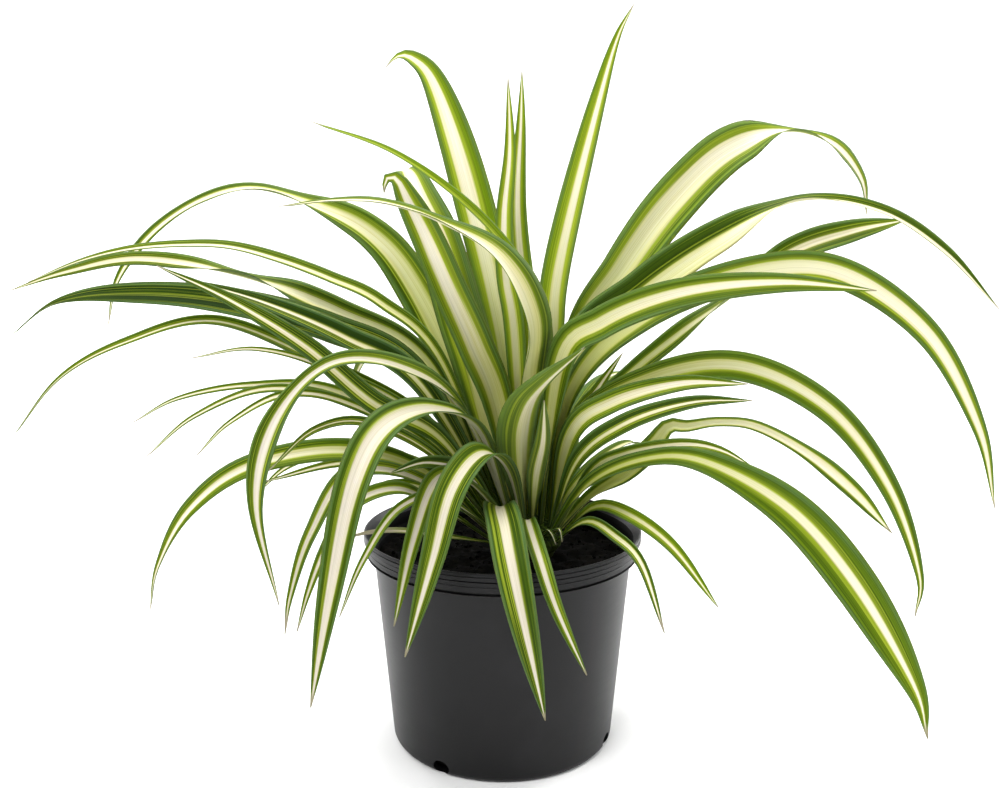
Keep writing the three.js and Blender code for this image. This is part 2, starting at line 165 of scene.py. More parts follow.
# Leaf finish: a cream stripe along the middle, green sides with fine lines, a greyer underside, and painted
# light and shade: painted shade toward the base and on the front leaves' cream, a painted sheen at the
# margin.
# Counts are streaks across a leaf, reaches are shares of its length from the base, and shares say
# how much of a colour is mixed in.
leafFinish = {
    "creamSun": display(228, 221, 204), "creamWarm": display(222, 209, 146),
    "creamBase": display(164, 172, 36), "creamShaded": display(180, 172, 164),
    "lime": display(160, 174, 46), "greenBright": display(104, 130, 0), "greenDeep": display(29, 53, 0),
    "marginSheenGreen": display(80, 108, 64), "lineAndShadeGreen": display(14, 24, 0), "underGreen": display(112, 126, 72),
    "dry": display(140, 132, 112),
    "patchCount": 2.6, "lineCount": 30.0, "hairCount": 11.0,
    "stripeSoftness": 0.06, "stripeTaper": 0.4, "edgeWander": 0.9, "edgeStreaks": 0.5, "limeWidth": 0.22,
    "baseShadeReach": 0.5, "baseShadeShare": 0.45, "oliveReach": 0.8, "oliveShare": 0.8,
    "warmShare": 0.7, "warmEdgeShare": 0.5, "creamShadeShare": 0.8, "creamLineShare": 0.5, "paleLineShare": 0.6,
    "marginSheenShare": 0.65, "underShare": 0.22, "lineShare": 0.5, "lineShareOnCream": 0.32,
    "roughness": 0.42, "lineRoughness": 0.16, "underRoughness": 0.10, "dryRoughness": 0.25,
    "bumpStrength": 0.55, "bumpDistance": 0.25 * mm, "specular": 0.10,
    "subsurface": 0.10, "subsurfaceRadius": (0.6, 0.8, 0.1), "subsurfaceScale": 2.0 * mm,
}


def leafMaterial():
    look = leafFinish
    material, shade = newMaterial("variegated leaf")
    across = shade.attribute("across")
    along = shade.attribute("along")
    under = shade.attribute("under")
    stripe, toneAndLight, dryness = shade.parts(shade.attribute("look", "Vector"))
    seed = shade.attribute("seed")
    tintAndLight = shade.attribute("tintAndLight")
    off = abs(across)
    fromStripe = abs(across - shade.attribute("shift"))
    # Patterns drawn out along the leaf, moved from leaf to leaf by the seed.
    patch = shade.noise(shade.xyz(across * look["patchCount"] + seed * 7.0, along * 2.4, seed * 3.0), 1.0)
    lines = shade.noise(shade.xyz(across * look["lineCount"], along * 1.6 + seed, seed * 5.0), 1.0)
    hair = shade.noise(shade.xyz(across * look["hairCount"] + seed * 2.0, along * 1.1, seed * 9.0), 1.0, 3.0)

    share = stripe * (1.0 - look["stripeTaper"] * along ** 3.0)
    edge = share * (1.0 + (patch - 0.5) * look["edgeWander"] + (lines - 0.5) * look["edgeStreaks"])
    soft, lime = look["stripeSoftness"], look["limeWidth"]
    green = shade.rise(fromStripe, edge - soft * 0.6, edge + soft)
    nearEdge = 1.0 - shade.rise(fromStripe, edge, edge + lime + lime * toneAndLight)
    # painted shade: this mask is highest at the base and darkens the leaf there, fading out along it
    baseShade = 1.0 - shade.rise(along, 0.04, look["baseShadeReach"])
    olive = 1.0 - shade.rise(along, 0.12, look["oliveReach"])

    # The stripe: warmer toward its edges, olive near the base, with lime lines.
    warm = shade.rise(patch * 0.5 + lines * 0.5, 0.44, 0.7) * look["warmShare"]
    cream = shade.mix(warm, look["creamSun"], look["creamWarm"])
    warmEdge = shade.rise(fromStripe, edge * 0.5, edge) * look["warmEdgeShare"]
    cream = shade.mix(warmEdge, cream, look["creamWarm"])
    # painted shade: the front leaves' cream is mixed toward a greyer, darker cream
    cream = shade.mix((1.0 - tintAndLight) * look["creamShadeShare"], cream, look["creamShaded"])
    cream = shade.mix(olive * tintAndLight * look["oliveShare"], cream, look["creamBase"])
    creamLine = shade.rise(hair, 0.54, 0.64) * shade.rise(fromStripe, share * 0.3, share)
    cream = shade.mix(creamLine * look["creamLineShare"], cream, look["lime"])

    # The green: darker near the base as painted shade, brighter with the leaf's tone (partly painted light
    # and shade), lime beside the stripe, and greyer at the margin as a painted sheen.
    deep = shade.mix(toneAndLight * (1.0 - 0.75 * baseShade), look["greenDeep"], look["greenBright"])
    hairShare = (0.12 + 0.7 * toneAndLight) * (1.0 - 0.5 * baseShade)
    leafGreen = shade.mix(shade.rise(hair, 0.38, 0.66) * hairShare, deep, look["greenBright"])
    paleLine = shade.rise(hair, 0.55, 0.61) * (1.0 - shade.rise(off, 0.6, 0.95))
    leafGreen = shade.mix(paleLine * look["paleLineShare"], leafGreen, look["lime"])
    leafGreen = shade.mix(nearEdge * (0.45 + 0.5 * toneAndLight), leafGreen, look["lime"])
    # painted sheen: the margin is mixed toward a greyer green
    marginSheen = shade.rise(off + (patch - 0.5) * 0.5, 0.66, 0.92) * look["marginSheenShare"]
    leafGreen = shade.mix(marginSheen, leafGreen, look["marginSheenGreen"])
    color = shade.mix(green, cream, leafGreen)

    onCream = look["lineShareOnCream"]
    fineLine = shade.rise(lines, 0.44, 0.66) * look["lineShare"] * (onCream + (1.0 - onCream) * green)
    color = shade.mix(fineLine, color, look["lineAndShadeGreen"])
    # painted shade near the base, mixed toward the dark line green
    color = shade.mix(baseShade * baseShade * look["baseShadeShare"], color, look["lineAndShadeGreen"])
    color = shade.mix(under * look["underShare"], color, look["underGreen"])
    tip = shade.rise(along, 1.0 - dryness, 1.0 - dryness * 0.35)
    color = shade.mix(tip, color, look["dry"])

    roughness = look["roughness"] + look["lineRoughness"] * lines + look["underRoughness"] * under
    roughness = roughness + look["dryRoughness"] * tip
    height = lines * 0.7 + hair * 0.3
    bump = shade.make("ShaderNodeBump", None, {
        "Strength": look["bumpStrength"], "Distance": look["bumpDistance"], "Height": height})
    finishMaterial(shade, {"Base Color": color, "Roughness": roughness, "Normal": bump}, {
        "Specular IOR Level": look["specular"], "Subsurface Weight": look["subsurface"],
        "Subsurface Radius": look["subsurfaceRadius"], "Subsurface Scale": look["subsurfaceScale"]})
    return material


# Leaves: where the base stands on the crown (azimuth, elevation), the greatest width (or the widths
# at even steps up to the tip), the turns of the blade about its midrib from base to tip, and the
# points that the midrib passes, in millimetres.
leafTable = {
    "inner_1": {"root": (36, 66), "width": 17.5, "roll": (20, 60, 60, 50),
        "path": ((27, 14, 222), (29, 16, 256), (38, 20, 300), (52, 24, 355), (62, 25, 389),
            (71, 24, 407))},
    "inner_2": {"root": (98, 76), "width": 14,
        "path": ((17.5, 24, 224), (11.5, 30, 261), (8.5, 36, 300), (10.5, 40, 348), (11, 42, 375))},
    "inner_3": {"root": (140, 80), "width": 13, "roll": (-15, -20),
        "path": ((7, 16, 225), (2, 20, 261), (1, 22, 294), (4, 24, 330), (3, 26, 369))},
    "inner_4": {"root": (140, 60), "width": 25.5, "roll": (-20, -50, -50, -60), "peak": 0.6,
        "path": ((3, 22, 204), (-4, 32, 249), (-14, 44, 292), (-28, 56, 341), (-41, 64, 374),
            (-53, 68, 386), (-62, 70, 387), (-70, 68, 379))},
    "inner_5": {"root": (192, 68), "widths": (8, 13, 18, 22, 23, 22, 20, 15),
        "roll": (-40, -75, -78, -78, -70),
        "path": ((-3, 2, 189), (-16, -5, 225), (-29, -10, 255), (-41, -13, 284), (-49, -15, 301),
            (-55, -15, 313), (-60.5, -14, 313), (-62, -12, 306))},
    "inner_6": {"root": (285, 60), "width": 11.5,
        "path": ((18, -20, 154), (21, -34, 178), (21, -46, 202))},
    "inner_7": {"root": (262, 66), "widths": (8, 14, 22, 26, 22, 12),
        "path": ((9, -22, 167), (11, -38, 194), (20, -50, 211), (40, -60, 231))},
    "upper_1": {"root": (172, 60), "widths": (9, 17, 25, 29, 30, 29, 26, 18),
        "roll": (-15, -42, -42, -38, -12),
        "path": ((-12, 12, 200), (-24, 20, 239), (-36, 28, 279), (-48, 37, 305), (-54, 48, 318),
            (-58, 60, 320), (-62, 70, 310))},
    "upper_2": {"root": (300, 76), "widths": (6.5, 11.5, 24, 31, 24, 11, 7.5),
        "roll": (-50, -75, -60, -25, -15),
        "path": ((13, -12, 201), (14, -30, 240), (-2, -43, 273), (-30, -54, 291), (-56, -62, 300),
            (-80, -70, 301), (-105, -76, 298))},
    "upper_3": {"root": (0, 80), "width": 11, "roll": (-50, -60, -50, -45), "peak": 0.3,
        "path": ((23, -3, 230), (9, -12, 267), (-17, -22, 298), (-54, -32, 325), (-95, -38, 340))},
    "upper_4": {"root": (150, 46), "widths": (9, 17, 25, 26, 21, 13, 9, 8),
        "roll": (-30, -75, -78, -75, -62, -12, -50, -68, -65),
        "path": ((-27, 26, 206), (-55, 40, 260), (-80, 48, 286), (-110, 50, 300), (-145, 52, 310),
            (-177, 52, 303), (-206, 50, 284), (-227, 48, 257), (-234, 46, 229))},
    "upper_5": {"root": (52, 52), "widths": (9, 11, 14, 20, 27, 31, 31, 28, 13, 13),
        "roll": (30, 60, 72, 75, 75, 75, 74, 66, 10, 65, 75),
        "path": ((41, 24, 221), (69, 36, 264), (97, 50, 300), (130, 62, 330), (166, 70, 344),
            (197, 73, 338), (217, 74, 317), (222, 74, 295))},
    "upper_6": {"root": (24, 46), "widths": (7, 11, 15, 21, 24, 21.5, 15, 9.5, 9, 6.5),
        "roll": (30, 70, 75, 75, 70, 8, 50, 65, 70),
        "path": ((39, 8, 219), (77, 14, 254), (122, 24, 283), (169, 32, 303), (217, 40, 298),
            (258, 44, 275), (293, 44, 240))},
    "left_1": {"root": (184, 50), "width": 10, "roll": (-20, -50, -35, -40),
        "path": ((-34, -2, 216), (-66, -6, 248), (-92, -9, 261), (-118, -11, 271), (-144, -13, 278),
            (-169, -15, 279), (-195, -16, 277), (-221, -17, 271), (-249, -18, 260))},
    "left_2": {"root": (172, 42), "widths": (5, 6.5, 9, 12.5, 15.5, 16, 12.5, 9.5, 5.8),
        "roll": (-20, -50, -60, -60, -60, 5, -60, -70, -70),
        "path": ((-40, 5, 212), (-90, 6, 242), (-144, 5, 262), (-197, 4, 271), (-238, 3, 264),
            (-269, 2, 254))},
    "left_3": {"root": (194, 38), "width": 18, "roll": (-20, -60, -78, -75, -5),
        "path": ((-45, -6, 207), (-92, -12, 235), (-147, -16, 250), (-196, -18, 254), (-235, -20, 249),
            (-262, -20, 230))},
    "left_4": {"root": (204, 48), "width": 16, "roll": (-20, -60, -60, -50),
        "path": ((-44, -13, 204), (-82, -24, 231), (-121, -33, 250), (-159, -41, 263))},
    "left_5": {"root": (218, 34), "width": 14, "roll": (-30, -70, -70, -60),
        "path": ((-33, -21, 176), (-67, -38, 199), (-98, -52, 230), (-131, -64, 254), (-162, -74, 271))},
    "left_6": {"root": (176, 28), "width": 8, "roll": (-20, -60, -50, -40),
        "path": ((-41, 4, 181), (-100, -4, 216), (-154, -10, 238.5), (-202, -12, 227.5),
            (-239, -12, 208), (-269, -10, 174))},
    "left_7": {"root": (190, 24), "width": 5.5, "roll": (-20, -60, -60, -50),
        "path": ((-45, -4, 183), (-93, -14, 213), (-130, -22, 225), (-163, -28, 221))},
    "left_8": {"root": (158, 16), "widths": (5, 11, 13, 9, 6.5, 5, 3.5), "roll": (-20, -60, -60),
        "path": ((-41, 10, 166), (-94, 6, 198), (-139, 0, 202), (-177, -6, 196), (-202, -10, 183))},
    "left_9": {"root": (186, 12), "width": 6.5, "roll": (-20, -60, -60),
        "path": ((-38, -2, 164), (-85, -14, 195), (-125, -24, 204), (-161, -32, 191), (-185, -38, 171))},
    "left_10": {"root": (202, 14), "width": 6.5, "roll": (-20, -60, -60),
        "path": ((-34, -8, 164), (-80, -26, 196), (-111, -40, 204), (-137, -52, 192), (-153, -58, 176))},
    "left_11": {"root": (212, 18), "width": 7, "roll": (-30, -70, -60),
        "path": ((-33, -28, 166), (-66, -56, 192), (-91, -70, 192), (-112, -80, 174))},
    "left_12": {"root": (200, 0), "width": 14, "roll": (-30, -65, -60, -15),
        "path": ((-40, -8, 153), (-82, -34, 173), (-128, -52, 169), (-156, -62, 150), (-172, -68, 122),
            (-177, -70, 98))},
    "left_13": {"root": (186, -4), "width": 7, "roll": (-20, -60, -60),
        "path": ((-41, 2, 147), (-82, -20, 163), (-126, -38, 157))},
    "left_14": {"root": (172, 4), "width": 7.5, "roll": (-20, -60, -60),
        "path": ((-41, 12, 151), (-89, 4, 165), (-118, -6, 158), (-136, -12, 143))},
    "left_15": {"root": (164, -8), "width": 8, "roll": (-20, -60, -60),
        "path": ((-36, 12, 136), (-63, 2, 145), (-85, -8, 136))},
    "front_1": {"root": (226, 0), "width": 10, "roll": (-20, -50, -50, -40),
        "path": ((-44, -24, 154), (-75, -66, 169), (-91, -90, 146), (-99, -102, 120), (-101, -108, 103))},
    "front_2": {"root": (216, 58), "widths": (8, 11, 15, 17, 11, 7.5, 12, 5.5), "roll": (0, -40, -50, -50),
        "path": ((-22, -18, 191), (-52, -46, 219), (-82, -74, 225), (-104, -96, 203),
            (-111, -112, 168), (-100, -122, 123))},
    "front_3": {"root": (228, 46), "width": 19, "roll": (0, -20, -30, -35), "peak": 0.5,
        "path": ((-12, -26, 180), (-32, -58, 199), (-54, -90, 198), (-67, -110, 176), (-77, -124, 128),
            (-85, -134, 80))},
    "front_4": {"root": (262, 40), "width": 18, "roll": (0, -15, -25, -25),
        "path": ((3, -28, 160), (-10, -58, 177), (-24, -84, 166), (-33, -96, 135), (-46, -104, 90))},
    "front_5": {"root": (248, 32), "width": 12, "roll": (0, -20, -30, -30),
        "path": ((-17, -36, 156), (-33, -64, 165), (-43, -86, 141), (-52, -94, 101))},
    "front_6": {"root": (266, 12), "width": 20, "roll": (0, 5), "peak": 0.42,
        "path": ((-1, -46, 146), (1, -80, 144), (7, -98, 118), (20, -106, 59))},
    "front_7": {"root": (290, 8), "width": 10, "roll": (0, 10),
        "path": ((13, -46, 139), (18, -82, 130), (26, -92, 108), (40, -98, 78))},
    "front_8": {"root": (236, 18), "width": 11, "roll": (-20, -60, -60),
        "path": ((-17, -22, 155), (-38, -40, 168), (-57, -54, 166))},
    "front_9": {"root": (246, -8), "width": 6, "roll": (-20, -50, -45),
        "path": ((-30, -32, 146), (-52, -58, 149), (-68, -80, 129), (-79, -88, 103))},
    "front_10": {"root": (214, -22), "width": 9, "roll": (-20, -50, -50, -40),
        "path": ((-34, -24, 139), (-54, -51, 157), (-74, -74, 155), (-84, -90, 139), (-91, -99, 121),
            (-96, -105, 103))},
    "right_1": {"root": (24, 34), "width": 18, "roll": (20, 60, 60, -10, 60, 60), "peak": 0.8,
        "path": ((39, 18, 172), (73, 26, 204), (105, 34, 228), (135, 42, 248), (170, 50, 273),
            (207, 58, 285), (242, 64, 292))},
    "right_2": {"root": (326, 56), "width": 19.5, "roll": (30, 75, 80, 70),
        "path": ((31, -20, 216), (52, -27, 239), (90, -36, 255), (138, -46, 261), (183, -54, 258))},
    "right_3": {"root": (4, 44), "width": 20.5, "roll": (30, 75, 85, 100, 105),
        "path": ((38, 0, 198), (76, 3, 239), (130, 6, 262), (183, 8, 264), (235, 8, 231),
            (268, 6, 177), (279, 2, 131))},
    "right_4": {"root": (346, 30), "width": 18, "roll": (30, 75, 85, 90, 100),
        "path": ((40, -7, 181), (80, -7, 207), (129, -9, 214), (177, -13, 191), (211, -17, 148),
            (229, -21, 100), (227, -24, 77))},
    "right_5": {"root": (338, 38), "width": 14.5, "roll": (30, 75, 75, 70),
        "path": ((37, -13, 176), (58, -20, 196), (93, -30, 208), (126, -38, 209))},
    "right_6": {"root": (326, 30), "width": 12, "roll": (30, 70, 75, 70),
        "path": ((40, -21, 164), (64, -32, 187), (96, -42, 200), (125, -52, 203))},
    "right_7": {"root": (342, 18), "width": 9, "roll": (30, 65, 65, 60),
        "path": ((48, -13, 155), (66, -18, 167), (95, -24, 174), (115, -28, 172), (133, -32, 163))},
    "right_8": {"root": (318, 16), "widths": (7, 9.5, 10.5, 10, 14, 20.5, 24, 24, 20, 11.5),
        "roll": (30, 75, 75, 75),
        "path": ((46, -28, 153), (74, -40, 170), (102, -54, 172), (141, -68, 152), (172, -80, 117),
            (200, -90, 69), (207, -94, 43))},
    "right_9": {"root": (6, 10), "widths": (5.6, 10, 13.5, 15, 9, 6.5, 7.5, 9, 12, 10),
        "roll": (20, 30, 50, 60, 60, 65, 65, 65, 60, 60),
        "path": ((50, 8, 135), (72, 8, 150), (86, 8, 166), (94, 8, 177), (104, 8, 177), (121, 6, 180),
            (142, 4, 178), (169, 0, 164), (194, -5, 144), (217, -10, 120))},
    "right_10": {"root": (346, 0), "width": 9, "roll": (30, 60, 60, 55),
        "path": ((50, -10, 135), (67, -20, 135), (90, -34, 121), (113, -48, 92))},
    "right_11": {"root": (320, -2), "width": 7, "roll": (30, 60, 50, 40),
        "path": ((45, -26, 132), (59, -42, 129), (71, -58, 119), (81, -72, 88))},
    "right_12": {"root": (12, 20), "width": 10, "roll": (20, 50, 50),
        "path": ((41, 10, 177), (54, 13, 198), (68, 16, 218))},
    "back_1": {"root": (78, 48), "width": 20,
        "path": ((24, 30, 172), (32, 62, 200), (42, 105, 198), (50, 145, 165), (54, 170, 115))},
    "back_2": {"root": (102, 56), "width": 22,
        "path": ((10, 30, 180), (0, 62, 208), (-12, 108, 200), (-22, 150, 158), (-26, 172, 105))},
    "back_3": {"root": (128, 44), "width": 18,
        "path": ((-8, 28, 172), (-34, 56, 204), (-64, 90, 212), (-92, 118, 200), (-106, 136, 172))},
    "back_4": {"root": (50, 40), "width": 18,
        "path": ((35, 26, 158), (51, 52, 182), (67, 84, 193), (88, 112, 194))},
    "back_5": {"root": (88, 20), "width": 14,
        "path": ((14, 36, 140), (14, 66, 152), (12, 100, 140), (10, 124, 108))},
    "back_6": {"root": (34, 14), "width": 12,
        "path": ((40, 16, 138), (62, 34, 154), (80, 52, 158), (92, 66, 146))},
    "left_16": {"root": (208, -8), "width": 5, "roll": (-20, -40),
        "path": ((-30, -16, 120), (-56, -24, 126), (-74, -28, 126), (-86, -30, 123))},
}

# How a leaf differs from the others: the stripe's share of its width, how bright its green is, the
# share of its length that is dry at the tip, and how far the stripe lies off the middle, in half widths.
# The green's brightness is partly the leaf's own tone and partly painted light and shade: low for leaves
# that sit in shade, high for the top leaves in the light.
leafLooks = {
    "inner_1": (0.34, 1.2, 0.02, -0.14), "inner_2": (0.34, 1.0, 0.02, 0), "inner_3": (0.36, 1.1, 0.03, 0),
    "inner_4": (0.42, 0.9, 0.03, 0.1), "inner_5": (0.45, 0.6, 0.02, 0), "inner_6": (0.33, 0.25, 0.02, 0),
    "inner_7": (0.34, 0.45, 0.02, 0.2), "upper_1": (0.48, 0.5, 0.02, 0), "upper_2": (0.60, 0.4, 0.03, 0.2),
    "upper_3": (-0.04, 1.0, 0.03, 0), "upper_4": (0.38, 0.3, 0.03, 0), "upper_5": (0.48, 0.5, 0.02, 0.04),
    "upper_6": (0.50, 0.15, 0.02, -0.42), "left_1": (0.29, 0.3, 0.02, 0), "left_2": (0.37, 0.15, 0.02, 0),
    "left_3": (-0.06, 0.0, 0.02, 0), "left_4": (0.16, 0.0, 0.02, 0), "left_5": (0.22, 0.1, 0.02, 0),
    "left_6": (0.15, 0.4, 0.02, 0), "left_11": (0.10, 0.1, 0.03, 0), "left_16": (0.35, 0.6, 0.5, 0),
    "front_1": (0.37, 0.35, 0.06, 0), "front_2": (0.42, 0.25, 0.02, 0.08), "front_3": (0.44, 0.2, 0.03, 0),
    "front_4": (0.27, 0.15, 0.03, 0), "front_6": (0.25, 0.1, 0.03, 0), "front_7": (0.31, 0.2, 0.03, 0),
    "front_8": (0.16, 0.05, 0.02, 0), "right_1": (0.27, 0.3, 0.02, 0), "right_2": (0.33, 0.4, 0.02, 0.1),
    "right_3": (0.50, 0.4, 0.02, 0), "right_4": (0.33, 0.4, 0.02, 0), "right_5": (0.41, 0.35, 0.02, 0),
    "right_6": (0.17, 0.1, 0.02, 0), "right_8": (0.22, 0.5, 0.03, 0), "right_9": (0.56, 0.3, 0.03, 0),
    "right_10": (0.23, 0.7, 0.02, 0), "right_11": (0.31, 0.2, 0.1, 0), "shoot": (0.3, 0.15, 0.1, 0),
}

# What all leaves share. Lengths and the tip's width are in millimetres unless mm is given. baseWidth is a
# share of a leaf's greatest width, curl and waveHeight are shares of its half width, ends is a share of
# its length, and the folds are the channel's angles at even steps from base to tip.
leafShape = {
    # The front leaves have a lower tint: less olive at their base and painted shade on their cream.
    "usualLook": (0.32, 0.35, 0.03, 0), "frontTintAndLight": 0.25,
    "crownCentre": (14, 2, 114), "crownRadius": 28, "crownDome": 19, "rootDepth": 10,
    "widestAt": 0.45, "baseWidth": 0.36, "tipWidth": 0.5, "taperPower": 2.1,
    "folds": (52, 26, 26, 14), "sectionStep": 4, "fewestSections": 12, "fineSteps": 50, "columns": 10,
    "thickness": 0.55 * mm, "roundness": 0.22, "curl": 0.07,
    "waveHeight": 0.10, "waveLength": 45 * mm, "ends": 0.03, "seedStep": 0.37, "shootSeedStep": 0.53,
}


def smooth(x):
    held = min(max(x, 0), 1)
    return held * held * (3 - 2 * held)


def listedValue(values, t):  # passes through the values at even steps of t
    place = t * (len(values) - 1)
    i = min(int(place), len(values) - 2)
    return values[i] + (values[i + 1] - values[i]) * smooth(place - i)


def curvePoint(points, place):  # a Catmull-Rom curve, one unit of place from point to point
    i = min(int(place), len(points) - 2)
    share = place - i
    before = points[i - 1] if i else 2 * points[0] - points[1]
    after = points[i + 2] if i + 2 < len(points) else 2 * points[-1] - points[-2]
    first, second = points[i], points[i + 1]
    leaving = 0.5 * (second - before)
    arriving = 0.5 * (after - first)
    bend = 3 * (second - first) - 2 * leaving - arriving
    twist = 2 * (first - second) + leaving + arriving
    return first + share * (leaving + share * (bend + share * twist))


def evenPoints(points, step):  # the curve's points at even distances, and its length
    steps = leafShape["fineSteps"]
    fine = [curvePoint(points, k / steps) for k in range(steps * (len(points) - 1) + 1)]
    reached = [0.0]
    for a, b in zip(fine, fine[1:]):
        reached.append(reached[-1] + (b - a).length)
    count = max(leafShape["fewestSections"], round(reached[-1] / step))
    spaced = []
    k = 0
    for i in range(count + 1):
        goal = reached[-1] * i / count
        while k < len(fine) - 2 and reached[k + 1] < goal:
            k += 1
        share = (goal - reached[k]) / (reached[k + 1] - reached[k])
        spaced.append(fine[k].lerp(fine[k + 1], share))
    return spaced, reached[-1]


def rootPoint(azimuth, elevation):
    shape = leafShape
    a, e = math.radians(azimuth), math.radians(elevation)
    flat = (shape["crownRadius"] - shape["rootDepth"]) * math.cos(e)
    rise = (shape["crownDome"] - shape["rootDepth"]) * math.sin(e)
    return Vector(shape["crownCentre"]) + Vector((flat * math.cos(a), flat * math.sin(a), rise))


def halfWidth(leaf, t):
    shape = leafShape
    if "widths" in leaf:
        widths = (*leaf["widths"], shape["tipWidth"])
        return max(curvePoint(widths, t * (len(widths) - 1)), shape["tipWidth"]) / 2
    peak = leaf.get("peak", shape["widestAt"])
    if t < peak:
        return leaf["width"] / 2 * (shape["baseWidth"] + (1 - shape["baseWidth"]) * smooth(t / peak))
    fall = (t - peak) / (1 - peak)
    tip = shape["tipWidth"] / 2
    return tip + (leaf["width"] / 2 - tip) * (1 - fall ** shape["taperPower"])


# The midrib as a line of points, each with the blade's sideways direction, half width and fold.
def midribMesh(name, leaf):
    start = rootPoint(*leaf["root"])
    points = [start] + [Vector(point) for point in leaf["path"]]
    spaced, length = evenPoints(points, leafShape["sectionStep"])
    heading = spaced[-1] - start
    heading.z = 0
    heading.normalize()
    level = Vector((-heading.y, heading.x, 0))
    count = len(spaced) - 1
    roll, folds = leaf.get("roll", (0, 0)), leafShape["folds"]
    sides, sections = [], []
    for i in range(count + 1):
        t = i / count
        tangent = (spaced[min(i + 1, count)] - spaced[max(i - 1, 0)]).normalized()
        side = (level - tangent * level.dot(tangent)).normalized()
        turn = math.radians(listedValue(roll, t))
        sides += list(Matrix.Rotation(turn, 3, tangent) @ side)
        sections += [halfWidth(leaf, t) * mm, math.radians(listedValue(folds, t)), length * t * mm]
    mesh = bpy.data.meshes.new(name)
    mesh.from_pydata([point * mm for point in spaced], [(i, i + 1) for i in range(count)], [])
    mesh.attributes.new("side", "FLOAT_VECTOR", "POINT").data.foreach_set("vector", sides)
    mesh.attributes.new("section", "FLOAT_VECTOR", "POINT").data.foreach_set("vector", sections)
    return mesh, count


# Geometry trees
def newGroup(name, inputs):
    group = bpy.data.node_groups.new(name, "GeometryNodeTree")
    for label, kind, value in inputs:
        item = group.interface.new_socket(name=label, in_out="INPUT", socket_type="NodeSocket" + kind)
        if value is not None:
            item.default_value = value
    group.interface.new_socket(name="Result", in_out="OUTPUT", socket_type="NodeSocketGeometry")
    tree = Tree(group)
    return group, tree, tree.make("NodeGroupInput")


def finishGroup(tree, geometry, material):
    smoothed = tree.make("GeometryNodeSetShadeSmooth", None, {"Geometry": geometry})
    real = tree.make("GeometryNodeRealizeInstances", None, {"Geometry": smoothed})
    painted = tree.make("GeometryNodeSetMaterial", None, {"Geometry": real, "Material": material})
    tree.make("NodeGroupOutput", None, {0: painted})


def grow(name, mesh, group, values):  # runs a tree on a mesh and keeps the result as a plain mesh
    source = addObject(name + "_source", mesh)
    modifier = source.modifiers.new("grow", "NODES")
    modifier.node_group = group
    for item in group.interface.items_tree:
        if item.name in values:
            modifier[item.identifier] = values[item.name]
    view = bpy.context.evaluated_depsgraph_get()
    grown = bpy.data.meshes.new_from_object(source.evaluated_get(view), preserve_all_data_layers=True,
                                            depsgraph=view)
    bpy.data.objects.remove(source)
    grown.name = name
    return grown


